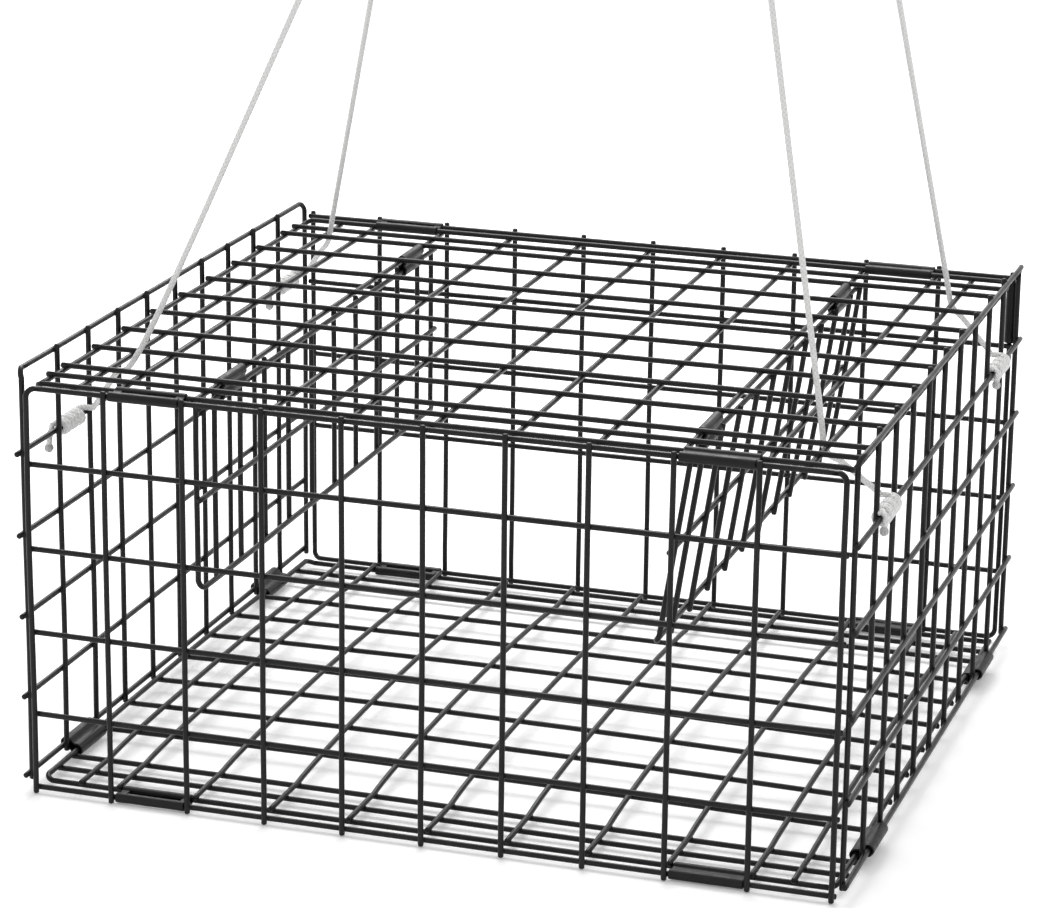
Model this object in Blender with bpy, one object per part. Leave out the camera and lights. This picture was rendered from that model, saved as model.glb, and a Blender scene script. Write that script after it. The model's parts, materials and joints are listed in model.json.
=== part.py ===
"""Folding crab trap of coated welded wire, with drop walls, hanging gates and four hauling cords.

The front faces -Y, and the trap stands on the floor plane with its origin under its middle.
Every panel is two layers of square wires, welded where they cross, with a bent edge wire.
"""
import math

import bmesh
import bpy
from mathutils import Vector

# Wire and mesh, in metres
WIRE = 0.0032
WELD_BITE = 0.0003
WIRE_STUB = 0.0015
SIDE_WIRE_STUB = 0.0035
CORNER_RADIUS = 0.009
CORNER_STEPS = 4
MESH_PITCH = 0.061
MESH_CELLS = 10
END_CELL = 0.0305
DEPTH_PITCH = 0.05535
DEPTH_CELLS = 8
EDGE_PITCH = 0.0256
EDGE_CELLS = 2
END_ROW = 0.058
ROW_PITCH = 0.0647
ROW_CELLS = 3

# Drop walls at the two sides, whose bars stand over the floor's wires
SIDE_ROW_PITCH = 0.0628
SIDE_ROWS = 5
SIDE_FRONT_GAP = 0.0037
SIDE_BACK_GAP = 0.0023
SIDE_OUT = 0.009
SIDE_UP = 0.005

# Gates that hang from the top, and the degrees that the right one leans inward
GATE_CELL = 3
GATE_END_CELL = 0.0347
GATE_GAPS = 9
GATE_ROW_PITCH = 0.0692
GATE_ROWS = 2
GATE_DROP = 0.009
RIGHT_GATE_LEAN = 8.5

# Clips that hold two wires side by side and let both turn
HINGE_GAP = 0.01405
BORE_CLEARANCE = 0.00035
CLIP_SKIN = 0.0019
CLIP_END_GAP = 0.0015
CLIP_SEGMENTS = 4
BORE_SIDES = 6
SIDE_CLIP_END_GAP = 0.0033
CLIP_CELL = 1
WINDOW_LIP = 0.001
WINDOW_END = 0.009
SLEEVE_SKIN = 0.0009
SLEEVE_SIDES = 12

# Cords
CORD = 0.0045
CORD_GAP = 0.0003
BEND_GAP = 0.0005
CORD_POINT_SPACING = 2.85
CURVE_STEPS = 40
ROUNDING = 0.000001
BEND_EASE = 0.12
TIE_TURNS = 3
TIE_PITCH = 0.0125
TIE_POINTS_PER_TURN = 9
TIE_ROW = 4
KNOT_LENGTH = 0.016
KNOT_WIDTH = 0.0125
KNOT_SEGMENTS = 9
KNOT_RINGS = 5
KNOT_SHARP_ANGLE = 50

# Where each cord goes, in metres: x, y and z of its end above, y of its bend and of its tie, and how far
# inward it bows above the bend
CORD_ROUTES = {
    "front_left": ((-0.1391, -0.1525, 0.5985), -0.2058, -0.1735, 0.0098),
    "back_left": ((-0.1993, 0.1525, 0.5449), 0.2345, 0.2700, 0.0),
    "front_right": ((0.2085, -0.1647, 0.6233), -0.2104, -0.1790, 0.0),
    "back_right": ((0.2298, 0.1464, 0.5740), 0.2135, 0.2160, 0.0),
}
TAIL_DROP = 0.014
TAIL_RUN = 0.012
TAIL_START = 0.002

# Sizes that follow from those above
LEVEL = WIRE - WELD_BITE
WIRE_REACH = WIRE / 2 * math.sqrt(2)
BORE = WIRE_REACH + BORE_CLEARANCE
CLIP_HALF = BORE + CLIP_SKIN
RIDE = CLIP_HALF
WIDTH = MESH_PITCH * MESH_CELLS
HALF_DEPTH = HINGE_GAP + EDGE_PITCH * EDGE_CELLS + DEPTH_PITCH * DEPTH_CELLS / 2
WALL_HEIGHT = 2 * END_ROW + ROW_PITCH * ROW_CELLS
TOP = RIDE + WALL_HEIGHT
FLOOR_EDGE_Z = RIDE + LEVEL
SIDE_HINGE_X = WIDTH / 2 + SIDE_OUT
SIDE_HINGE_Z = FLOOR_EDGE_Z + SIDE_UP
SIDE_HEIGHT = SIDE_ROW_PITCH * SIDE_ROWS
FIRST_FULL_Y = DEPTH_PITCH * DEPTH_CELLS / 2
GATE_X = MESH_PITCH * GATE_CELL
GATE_Z = TOP - LEVEL - GATE_DROP
GATE_HALF = FIRST_FULL_Y + GATE_END_CELL
GATE_PITCH = 2 * FIRST_FULL_Y / GATE_GAPS
GATE_HEIGHT = GATE_ROW_PITCH * GATE_ROWS
TIE_RADIUS = WIRE_REACH + BORE_CLEARANCE + CORD / 2
BEND_X = WIDTH / 2 - END_CELL - WIRE / 2 - CORD / 2 - BEND_GAP
BEND_Z = TOP - LEVEL - WIRE


def clear_scene():
    """Removes what the file opened with."""
    for thing in list(bpy.data.objects):
        bpy.data.objects.remove(thing, do_unlink=True)


def make_material(name, colour, roughness, metallic=0.0):
    """A plain Principled material."""
    material = bpy.data.materials.new(name)
    material.use_nodes = True
    shader = material.node_tree.nodes["Principled BSDF"]
    shader.inputs["Base Color"].default_value = (*colour, 1.0)
    shader.inputs["Roughness"].default_value = roughness
    shader.inputs["Metallic"].default_value = metallic
    material.diffuse_color = (*colour, 1.0)
    return material


def add_object(name, mesh, material, location=(0, 0, 0), parent=None):
    """Links a mesh as a named object that keeps its place in the world under its parent."""
    thing = bpy.data.objects.new(name, mesh)
    bpy.context.collection.objects.link(thing)
    mesh.materials.clear()
    mesh.materials.append(material)
    thing.location = Vector(location)
    if parent is not None:
        thing.parent = parent
        thing.location = Vector(location) - world_place(parent)
    return thing


def world_place(thing):
    """Where an object's origin is, for objects that are moved but not turned."""
    place = Vector(thing.location)
    while thing.parent is not None:
        thing = thing.parent
        place += Vector(thing.location)
    return place


def mesh_from(bm, name):
    """Closes a bmesh into a mesh with its faces turned outward."""
    bmesh.ops.recalc_face_normals(bm, faces=bm.faces)
    mesh = bpy.data.meshes.new(name)
    bm.to_mesh(mesh)
    bm.free()
    return mesh


class Axes:
    """A panel's own directions: along its hinge, away from its hinge, and towards its bars."""

    def __init__(self, along, away, bars):
        self.along = Vector(along)
        self.away = Vector(away)
        self.bars = Vector(bars)

    def point(self, u, v, level):
        return self.along * u + self.away * v + self.bars * (level * LEVEL)

    def flat(self, u, v):
        return self.along * u + self.away * v


def add_wire(bm, axes, path, closed=False):
    """A square wire along a path of (u, v, level) points."""
    rings = []
    count = len(path)
    for i, (u, v, level) in enumerate(path):
        before = path[i - 1] if closed or i > 0 else None
        after = path[(i + 1) % count] if closed or i < count - 1 else None
        steps = []
        if before is not None:
            steps.append(axes.flat(u - before[0], v - before[1]).normalized())
        if after is not None:
            steps.append(axes.flat(after[0] - u, after[1] - v).normalized())
        ahead = sum(steps, Vector()).normalized()
        miter = 1 / ahead.dot(steps[0])
        across = axes.bars.cross(ahead) * (WIRE / 2 * miter)
        up = axes.bars * (WIRE / 2)
        centre = axes.point(u, v, level)
        corners = (across + up, across - up, -across - up, up - across)
        rings.append([bm.verts.new(centre + corner) for corner in corners])
    spans = count if closed else count - 1
    for i in range(spans):
        ring, following = rings[i], rings[(i + 1) % count]
        for k in range(4):
            face = (ring[k], ring[(k + 1) % 4], following[(k + 1) % 4], following[k])
            bm.faces.new(face)
    if not closed:
        bm.faces.new(rings[0])
        bm.faces.new(rings[-1])


def rounded_corner(u, v, first_angle, first_level):
    """Points round a corner with its centre at u, v, passing from one level to the other."""
    points = []
    for i in range(CORNER_STEPS + 1):
        share = i / CORNER_STEPS
        angle = math.radians(first_angle + 90 * share)
        level = first_level + (1 - 2 * first_level) * share
        place = (u + CORNER_RADIUS * math.cos(angle), v + CORNER_RADIUS * math.sin(angle))
        points.append((*place, level))
    return points


def edge_wire(u0, u1, v0, v1, ends):
    """The bent wire at a panel's edge. ends says where it is closed: low, high or both."""
    inner_u0, inner_u1 = u0 + CORNER_RADIUS, u1 - CORNER_RADIUS
    inner_v0, inner_v1 = v0 + CORNER_RADIUS, v1 - CORNER_RADIUS
    low_right = rounded_corner(inner_u1, inner_v0, -90, 0)
    high_right = rounded_corner(inner_u1, inner_v1, 0, 1)
    high_left = rounded_corner(inner_u0, inner_v1, 90, 0)
    low_left = rounded_corner(inner_u0, inner_v0, 180, 1)
    reach = WIRE / 2 + WIRE_STUB
    if ends == "both":
        return low_right + high_right + high_left + low_left
    if ends == "high":
        return [(u1, v0 - reach, 1)] + high_right + high_left + [(u0, v0 - reach, 1)]
    return [(u0, v1 + reach, 1)] + low_left + low_right + [(u1, v1 + reach, 1)]


def wires_mesh(name, axes, paths, closed=False):
    """One mesh of separate wires."""
    bm = bmesh.new()
    for path in paths:
        add_wire(bm, axes, path, closed)
    bmesh.ops.triangulate(bm, faces=bm.faces)
    return mesh_from(bm, name)


def fused_mesh(name, meshes, operation="UNION"):
    """The first mesh joined with, or cut by, each of the others, as one closed body."""
    things = []
    for i, mesh in enumerate(meshes):
        thing = bpy.data.objects.new(f"{name}_operand_{i}", mesh)
        bpy.context.collection.objects.link(thing)
        things.append(thing)
    for thing in things[1:]:
        modifier = things[0].modifiers.new(thing.name, "BOOLEAN")
        modifier.operation = operation
        modifier.solver = "EXACT"
        modifier.object = thing
    graph = bpy.context.evaluated_depsgraph_get()
    fused = bpy.data.meshes.new_from_object(things[0].evaluated_get(graph))
    fused.name = name
    for thing in things:
        bpy.data.objects.remove(thing, do_unlink=True)
    return fused


def welded_panel(name, axes, rows, bars, box, closed_ends, row_stub=WIRE_STUB):
    """Straight rows and bars inside a bent edge wire, welded into one body."""
    u0, u1, v0, v1 = box
    row_reach = WIRE / 2 + row_stub
    bar_reach = WIRE / 2 + WIRE_STUB
    row_paths = [[(u0 - row_reach, v, 0), (u1 + row_reach, v, 0)] for v in rows]
    bar_paths = [[(u, v0 - bar_reach, 1), (u, v1 + bar_reach, 1)] for u in bars]
    edge = edge_wire(u0, u1, v0, v1, closed_ends)
    meshes = [
        wires_mesh(name + "_rows", axes, row_paths),
        wires_mesh(name + "_bars", axes, bar_paths),
        wires_mesh(name + "_edge", axes, [edge], closed=closed_ends == "both"),
    ]
    return fused_mesh(name, meshes)


def depth_stations():
    """The floor's and top's wires from front to back, measured from the middle, edges left out."""
    half = FIRST_FULL_Y
    stations = [-half - EDGE_PITCH * k for k in range(EDGE_CELLS - 1, 0, -1)]
    stations += [-half + DEPTH_PITCH * k for k in range(DEPTH_CELLS + 1)]
    stations += [half + EDGE_PITCH * k for k in range(1, EDGE_CELLS)]
    return stations


def width_stations():
    """The floor's and top's wires from left to right, edges left out."""
    inner = [MESH_PITCH * k - WIDTH / 2 for k in range(1, MESH_CELLS)]
    return [END_CELL - WIDTH / 2] + inner + [WIDTH / 2 - END_CELL]


def wall_rows():
    """Heights of the front and back walls' rows, both ends left out."""
    return [END_ROW + ROW_PITCH * k for k in range(ROW_CELLS + 1)]


def make_level_panel(name, material, location, bars_up, shift, parent=None):
    """The floor or the top: the same panel, one of them turned over."""
    axes = Axes((1, 0, 0), (0, 1, 0), (0, 0, 1 if bars_up else -1))
    half = FIRST_FULL_Y + EDGE_PITCH * EDGE_CELLS
    rows = [y + shift for y in depth_stations()]
    box = (-WIDTH / 2, WIDTH / 2, shift - half, shift + half)
    mesh = welded_panel(name, axes, rows, width_stations(), box, "both")
    return add_object(name, mesh, material, location, parent)


def make_end_wall(name, material, front, parent):
    """The front or the back wall: the same panel, the back one turned upside down."""
    outward = -1 if front else 1
    axes = Axes((1, 0, 0), (0, 0, 1), (0, outward, 0))
    bars = [MESH_PITCH * k - WIDTH / 2 for k in range(1, MESH_CELLS)]
    rows = ([0.0] if front else []) + wall_rows() + ([] if front else [WALL_HEIGHT])
    box = (-WIDTH / 2, WIDTH / 2, 0.0, WALL_HEIGHT)
    mesh = welded_panel(name, axes, rows, bars, box, "high" if front else "low")
    return add_object(name, mesh, material, (0, outward * HALF_DEPTH, RIDE), parent)


def make_drop_wall(name, material, side, parent):
    """A side wall, which drops outward about its bottom wire. side is -1 left or 1 right."""
    axes = Axes((0, 1, 0), (0, 0, 1), (-side, 0, 0))
    bars = [DEPTH_PITCH * k - FIRST_FULL_Y for k in range(DEPTH_CELLS + 1)]
    rows = [SIDE_ROW_PITCH * k for k in range(SIDE_ROWS)]
    box = (SIDE_FRONT_GAP - HALF_DEPTH, HALF_DEPTH - SIDE_BACK_GAP, 0.0, SIDE_HEIGHT)
    mesh = welded_panel(name, axes, rows, bars, box, "high", SIDE_WIRE_STUB)
    return add_object(name, mesh, material, (side * SIDE_HINGE_X, 0, SIDE_HINGE_Z), parent)


def make_gate(name, material, side, parent):
    """A gate that hangs on its own top wire and swings about it."""
    lean = math.radians(RIGHT_GATE_LEAN) if side > 0 else 0.0
    away = (-side * math.sin(lean), 0, -math.cos(lean))
    axes = Axes((0, 1, 0), away, (side * math.cos(lean), 0, -math.sin(lean)))
    bars = [GATE_PITCH * k - FIRST_FULL_Y for k in range(GATE_GAPS + 1)]
    rows = [GATE_ROW_PITCH * k for k in range(GATE_ROWS)]
    box = (-GATE_HALF, GATE_HALF, 0.0, GATE_HEIGHT)
    mesh = welded_panel(name, axes, rows, bars, box, "high")
    return add_object(name, mesh, material, (side * GATE_X, 0, GATE_Z), parent)


def ring_points(radius, sides, centre):
    """A bore whose flats stand at the given radius."""
    reach = radius / math.cos(math.pi / sides)
    turn = math.pi / sides
    angles = [turn + 2 * math.pi * k / sides for k in range(sides)]
    return [(centre + reach * math.cos(a), reach * math.sin(a)) for a in angles]


def clip_outline(spread):
    """The outside of a clip: two half rounds joined by flats."""
    points = []
    for side in (1, -1):
        for k in range(CLIP_SEGMENTS + 1):
            angle = math.pi * (k / CLIP_SEGMENTS - 0.5)
            a = spread / 2 + CLIP_HALF * math.cos(angle)
            points.append((side * a, side * CLIP_HALF * math.sin(angle)))
    return points


def bored_bar(name, outline, bores, length, axis, wide, tall):
    """A bar of the given outline with bores right through it, its middle at the origin."""
    bm = bmesh.new()
    ends = []
    for sign in (-1, 1):
        loops = []
        for loop in [outline] + bores:
            places = [axis * (sign * length / 2) + wide * a + tall * b for a, b in loop]
            verts = [bm.verts.new(place) for place in places]
            loops.append(verts)
        edges = []
        for verts in loops:
            edges += [bm.edges.new((v, verts[(i + 1) % len(verts)])) for i, v in enumerate(verts)]
        bmesh.ops.triangle_fill(bm, use_beauty=True, edges=edges)
        ends.append(loops)
    for first, second in zip(*ends):
        for i in range(len(first)):
            j = (i + 1) % len(first)
            bm.faces.new((first[i], first[j], second[j], second[i]))
    return mesh_from(bm, name)


def box_mesh(name, sizes):
    """A box with its middle at the origin."""
    bm = bmesh.new()
    bmesh.ops.create_cube(bm, size=1.0)
    bmesh.ops.scale(bm, vec=Vector(sizes), verts=bm.verts)
    return mesh_from(bm, name)


def make_clip(name, material, location, length, axis, spread, parent, window=False):
    """A clip round two parallel wires, spread apart along the direction given."""
    wide = Vector(spread).normalized()
    gap = Vector(spread).length
    tall = Vector(axis).cross(wide)
    bores = [ring_points(BORE, BORE_SIDES, sign * gap / 2) for sign in (1, -1)]
    mesh = bored_bar(name, clip_outline(gap), bores, length, Vector(axis), wide, tall)
    if window:
        open_width = gap - 2 * (BORE + WINDOW_LIP)
        sizes = Vector(axis) * (length - 2 * WINDOW_END) + wide * open_width + tall * (4 * CLIP_HALF)
        cutter = box_mesh(name + "_window", [abs(size) for size in sizes])
        mesh = fused_mesh(name, [mesh, cutter], "DIFFERENCE")
    return add_object(name, mesh, material, location, parent)


def make_end_clips(material, floor, top):
    """The clips that hinge the front and back walls to the floor and the top."""
    length = MESH_PITCH - WIRE - 2 * CLIP_END_GAP
    middle_x = WIDTH / 2 - (CLIP_CELL + 0.5) * MESH_PITCH
    for place, carrier, height in (("bottom", floor, RIDE), ("top", top, TOP)):
        for end, outward in (("front", -1), ("back", 1)):
            y = outward * (HALF_DEPTH - HINGE_GAP / 2)
            for hand, side in (("left", -1), ("right", 1)):
                name = f"clip_{end}_{place}_{hand}"
                at = (side * middle_x, y, height)
                spread = (0, HINGE_GAP, 0)
                make_clip(name, material, at, length, (1, 0, 0), spread, carrier, side < 0)


def make_side_clips(material, floor):
    """The clips that hinge the drop walls to the floor, each wall's wire above and outside the floor's."""
    length = DEPTH_PITCH - WIRE - 2 * SIDE_CLIP_END_GAP
    for end, toward in (("front", -1), ("back", 1)):
        y = toward * (FIRST_FULL_Y - DEPTH_PITCH / 2)
        for hand, side in (("left", -1), ("right", 1)):
            at = (side * (WIDTH / 2 + SIDE_OUT / 2), y, FLOOR_EDGE_Z + SIDE_UP / 2)
            spread = (side * SIDE_OUT, 0, SIDE_UP)
            make_clip(f"clip_{end}_side_{hand}", material, at, length, (0, 1, 0), spread, floor)


def make_gate_clips(material, top):
    """The clips that the gates swing in, between crossing wires of the top and of the gate."""
    step = min(GATE_PITCH, DEPTH_PITCH)
    length = step - WIRE - 2 * CLIP_END_GAP
    for end, toward in (("front", -1), ("back", 1)):
        y = toward * (FIRST_FULL_Y - step / 2)
        for hand, side in (("left", -1), ("right", 1)):
            at = (side * GATE_X, y, GATE_Z + GATE_DROP / 2)
            name = f"clip_gate_{end}_{hand}"
            make_clip(name, material, at, length, (0, 1, 0), (0, 0, GATE_DROP), top)


def make_sleeve(material, back_wall):
    """A tube on the back wall's right edge wire, between its two top rows."""
    top_row = wall_rows()[-1]
    length = WALL_HEIGHT - top_row - WIRE - 2 * CLIP_END_GAP
    outline = ring_points(BORE + SLEEVE_SKIN, SLEEVE_SIDES, 0)
    bores = [ring_points(BORE, BORE_SIDES, 0)]
    axes = (Vector((0, 0, 1)), Vector((1, 0, 0)), Vector((0, 1, 0)))
    mesh = bored_bar("sleeve_back_wall", outline, bores, length, *axes)
    height = RIDE + (WALL_HEIGHT + top_row) / 2
    place = (WIDTH / 2, HALF_DEPTH + LEVEL, height)
    return add_object("sleeve_back_wall", mesh, material, place, back_wall)


def smooth_points(route, spacing):
    """Evenly spaced points on a smooth curve through the route's points."""
    ends = [route[0] * 2 - route[1], *route, route[-1] * 2 - route[-2]]
    fine = []
    for a, b, c, d in zip(ends, ends[1:], ends[2:], ends[3:]):
        for k in range(CURVE_STEPS):
            t = k / CURVE_STEPS
            curve = 2 * b + (c - a) * t + (2 * a - 5 * b + 4 * c - d) * t**2
            fine.append((curve + (3 * b - a - 3 * c + d) * t**3) / 2)
    fine.append(route[-1])
    length = sum((q - p).length for p, q in zip(fine, fine[1:]))
    step = length / max(round(length / spacing), 1)
    points, since = [fine[0]], 0.0
    for p, q in zip(fine, fine[1:]):
        since += (q - p).length
        if since >= step - ROUNDING:
            points.append(q)
            since -= step
    points[-1] = route[-1]
    return points


def make_tube(name, points, diameter, sides_setting, material, parent, origin):
    """A round cord along points, as a curve with filled ends."""
    curve = bpy.data.curves.new(name, "CURVE")
    curve.dimensions = "3D"
    curve.bevel_depth = diameter / 2
    curve.bevel_resolution = sides_setting
    curve.use_fill_caps = True
    spline = curve.splines.new("POLY")
    spline.points.add(len(points) - 1)
    for slot, place in zip(spline.points, points):
        slot.co = (*(place - Vector(origin)), 1.0)
        slot.radius = 1.0
    curve.materials.append(material)
    thing = bpy.data.objects.new(name, curve)
    bpy.context.collection.objects.link(thing)
    spline.use_smooth = True
    thing.location = Vector(origin) - world_place(parent)
    thing.parent = parent
    return thing


def tie_points(side, start_y, row_x, row_z):
    """A few turns of cord round a drop wall's row wire, and the loose tail below."""
    points = [Vector((row_x - side * CORD, start_y, row_z + TIE_RADIUS))]
    for i in range(TIE_TURNS * TIE_POINTS_PER_TURN + 1):
        turn = i / TIE_POINTS_PER_TURN
        angle = 2 * math.pi * turn
        x = row_x + side * TIE_RADIUS * math.sin(angle)
        z = row_z + TIE_RADIUS * math.cos(angle)
        points.append(Vector((x, start_y - TIE_PITCH * turn, z)))
    last = points[-1]
    outer = row_x + side * TIE_RADIUS
    points.append(Vector((outer, last.y - TAIL_RUN / 2, row_z + TAIL_START)))
    points.append(Vector((outer, last.y - TAIL_RUN, row_z - TAIL_DROP / 2)))
    points.append(Vector((outer, last.y - TAIL_RUN, row_z - TAIL_DROP)))
    return points


def least_gap(points, diameter):
    """The least clear distance between turns of a tube that are over two diameters apart along it."""
    lengths = [0.0]
    for p, q in zip(points, points[1:]):
        lengths.append(lengths[-1] + (q - p).length)
    least = math.inf
    for i, p in enumerate(points):
        for j in range(i + 1, len(points)):
            if lengths[j] - lengths[i] > 2 * diameter:
                least = min(least, (points[j] - p).length - diameter)
    return least


def knot_mesh(name, ahead):
    """A lump of knotted cord that begins at the origin and points ahead."""
    bm = bmesh.new()
    side = ahead.orthogonal().normalized()
    other = ahead.cross(side)
    rings = []
    for i in range(KNOT_RINGS + 1):
        share = i / KNOT_RINGS
        radius = CORD / 2 + (KNOT_WIDTH - CORD) / 2 * math.sin(math.pi * share)
        centre = ahead * (KNOT_LENGTH * share)
        ring = []
        for k in range(KNOT_SEGMENTS):
            angle = 2 * math.pi * k / KNOT_SEGMENTS
            place = side * (radius * math.cos(angle)) + other * (radius * math.sin(angle))
            ring.append(bm.verts.new(centre + place))
        rings.append(ring)
    for ring, following in zip(rings, rings[1:]):
        for k in range(KNOT_SEGMENTS):
            j = (k + 1) % KNOT_SEGMENTS
            bm.faces.new((ring[k], ring[j], following[j], following[k]))
    bm.faces.new(rings[0])
    bm.faces.new(rings[-1])
    return mesh_from(bm, name)


def make_cord(corner, material, wall, floor):
    """One corner's tie on its wall, its taut cord, and the knot that ends it above."""
    top_end, bend_y, tie_y, bow = CORD_ROUTES[corner]
    side = -1 if corner.endswith("left") else 1
    row_x = side * SIDE_HINGE_X
    row_z = SIDE_HINGE_Z + SIDE_ROW_PITCH * TIE_ROW
    tie = tie_points(side, tie_y, row_x, row_z)
    make_tube(f"tie_{corner}", tie, CORD, 1, material, wall, tie[0])
    print(f"tie_{corner}: least gap to itself {least_gap(tie, CORD) * 1000:.2f} mm")
    leaving = (tie[0] - tie[1]).normalized()
    start = tie[0] + leaving * CORD_GAP
    bend = Vector((side * BEND_X, bend_y, BEND_Z))
    end = Vector(top_end)
    lead = start + leaving * CORD
    above = bend.lerp(end, BEND_EASE) - Vector((side * bow, 0, 0))
    route = [lead, lead.lerp(bend, 1 - BEND_EASE * 3), bend, above, end]
    points = [start] + smooth_points(route, CORD * CORD_POINT_SPACING)
    make_tube(f"cord_{corner}", points, CORD, 2, material, floor, start)
    ahead = (points[-1] - points[-2]).normalized()
    knot_start = end + ahead * CORD_GAP
    mesh = knot_mesh(f"end_knot_{corner}", ahead)
    knot = add_object(f"end_knot_{corner}", mesh, material, knot_start, floor)
    for polygon in knot.data.polygons:
        polygon.use_smooth = True
    knot.data.set_sharp_from_angle(angle=math.radians(KNOT_SHARP_ANGLE))


def build():
    """Makes every piece of the trap."""
    clear_scene()
    wire = make_material("coated_wire", (0.018, 0.019, 0.02), 0.42)
    clip = make_material("clip_plastic", (0.03, 0.031, 0.032), 0.5)
    cord = make_material("white_cord", (0.86, 0.86, 0.84), 0.8)

    floor = make_level_panel("floor_panel", wire, (0, 0, RIDE), True, 0.0)
    front = make_end_wall("front_wall", wire, True, floor)
    back = make_end_wall("back_wall", wire, False, floor)
    top_axis = (0, -HALF_DEPTH, TOP)
    top = make_level_panel("top_panel", wire, top_axis, False, HALF_DEPTH, front)
    left = make_drop_wall("drop_wall_left", wire, -1, floor)
    right = make_drop_wall("drop_wall_right", wire, 1, floor)
    make_gate("gate_left", wire, -1, top)
    make_gate("gate_right", wire, 1, top)

    make_end_clips(clip, floor, top)
    make_side_clips(clip, floor)
    make_gate_clips(clip, top)
    make_sleeve(clip, back)

    for corner in CORD_ROUTES:
        make_cord(corner, cord, left if corner.endswith("left") else right, floor)


build()
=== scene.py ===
"""A folding crab trap of coated welded wire on a pale floor, seen as in the photograph.

Every panel is drawn as round coated wires welded where they cross, each clip as a bent sheet,
and each cord as braided line. Sizes are in metres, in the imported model's own frame.
"""
import json
import math

import bpy
from mathutils import Matrix, Vector, noise

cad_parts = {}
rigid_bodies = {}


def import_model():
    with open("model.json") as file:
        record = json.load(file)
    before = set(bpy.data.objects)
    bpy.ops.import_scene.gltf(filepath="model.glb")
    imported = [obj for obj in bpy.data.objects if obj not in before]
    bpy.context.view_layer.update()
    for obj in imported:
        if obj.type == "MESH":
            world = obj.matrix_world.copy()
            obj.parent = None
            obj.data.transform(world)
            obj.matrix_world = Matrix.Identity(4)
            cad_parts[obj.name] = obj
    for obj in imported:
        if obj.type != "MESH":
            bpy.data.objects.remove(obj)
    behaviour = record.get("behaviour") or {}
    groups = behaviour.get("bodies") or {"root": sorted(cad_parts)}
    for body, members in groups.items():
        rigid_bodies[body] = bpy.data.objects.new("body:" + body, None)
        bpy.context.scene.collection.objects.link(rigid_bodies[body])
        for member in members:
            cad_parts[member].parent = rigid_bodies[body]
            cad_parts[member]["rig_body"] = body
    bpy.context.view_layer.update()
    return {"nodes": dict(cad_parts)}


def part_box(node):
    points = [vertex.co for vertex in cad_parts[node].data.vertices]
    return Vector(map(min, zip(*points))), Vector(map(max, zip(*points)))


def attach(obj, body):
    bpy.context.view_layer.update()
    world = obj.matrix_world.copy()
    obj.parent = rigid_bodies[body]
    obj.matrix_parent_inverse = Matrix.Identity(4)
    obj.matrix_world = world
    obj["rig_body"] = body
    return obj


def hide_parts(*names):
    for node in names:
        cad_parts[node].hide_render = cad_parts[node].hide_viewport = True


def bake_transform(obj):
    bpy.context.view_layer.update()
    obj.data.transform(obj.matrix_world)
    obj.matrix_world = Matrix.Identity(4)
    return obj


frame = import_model()

# The photograph's camera
CAMERA_PLACE = (0.8530, -2.7050, 1.0793)
CAMERA_YAW = -0.313
CAMERA_PITCH = 0.296
CAMERA_ROLL = 0.012
CAMERA_LENS = 132.29
CAMERA_SENSOR = 36
CAMERA_REACH = 50

# Wires: how thick, how far apart a panel's two layers are, and how far the ends of bars and rows stick out
WIRE = 0.0043
LEVEL = 0.0029
WIRE_STUB = 0.0033
ROW_STUB = 0.0024
SIDE_WIRE_STUB = 0.0052
WIRE_SIDES = 10
WIRE_SPACING = 0.009
CORNER_RADIUS = 0.006
CORNER_STEPS = 8
WELD_WIDE = WIRE * 0.66
WELD_DEEP = WIRE * 0.55

# Mesh of the floor, the top, the front and the back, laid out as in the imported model
MESH_PITCH = 0.061
MESH_CELLS = 10
END_CELL = 0.0305
DEPTH_PITCH = 0.05535
DEPTH_CELLS = 8
EDGE_PITCH = 0.0256
EDGE_CELLS = 2
END_ROW = 0.058
ROW_PITCH = 0.0647
ROW_CELLS = 3
HINGE_GAP = 0.01405
RIDE = 0.00451274

# Drop walls at the two sides
SIDE_ROW_PITCH = 0.0628
SIDE_ROWS = 5
SIDE_OUT = 0.009
SIDE_UP = 0.005
SIDE_FRONT_GAP = 0.0037
SIDE_BACK_GAP = 0.0023

# Gates that hang from the top, and the degrees that the right one leans inward
GATE_CELL = 3
GATE_END_CELL = 0.0347
GATE_GAPS = 9
GATE_ROW_PITCH = 0.0692
GATE_ROWS = 2
GATE_DROP = 0.009
RIGHT_GATE_LEAN = 8.5

# Sizes that follow from those above
WIDTH = MESH_PITCH * MESH_CELLS
FIRST_FULL_Y = DEPTH_PITCH * DEPTH_CELLS / 2
HALF_DEPTH = HINGE_GAP + EDGE_PITCH * EDGE_CELLS + FIRST_FULL_Y
WALL_HEIGHT = 2 * END_ROW + ROW_PITCH * ROW_CELLS
TOP = RIDE + WALL_HEIGHT
FLOOR_EDGE_Z = RIDE + LEVEL
SIDE_HINGE_X = WIDTH / 2 + SIDE_OUT
SIDE_HINGE_Z = FLOOR_EDGE_Z + SIDE_UP
SIDE_HEIGHT = SIDE_ROW_PITCH * SIDE_ROWS
GATE_X = MESH_PITCH * GATE_CELL
GATE_Z = TOP - LEVEL - GATE_DROP
GATE_HALF = FIRST_FULL_Y + GATE_END_CELL
GATE_PITCH = 2 * FIRST_FULL_Y / GATE_GAPS
GATE_HEIGHT = GATE_ROW_PITCH * GATE_ROWS

# How wires stray from true: the pattern's scale and step from panel to panel, and how far it moves them.
# The floor's arch is lower towards its side edges. Wires stay true beside the lines that clips hold.
SWAY_SCALE = 7
SWAY_STEP = 3.7
SWAY_WITHIN = 0.0007
SWAY_ACROSS = 0.0006
HELD_REACH = 0.02
FLOOR_BOW = 0.0085
BOW_POWER = 0.75
BOW_EDGE_LOSS = 0.45

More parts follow.
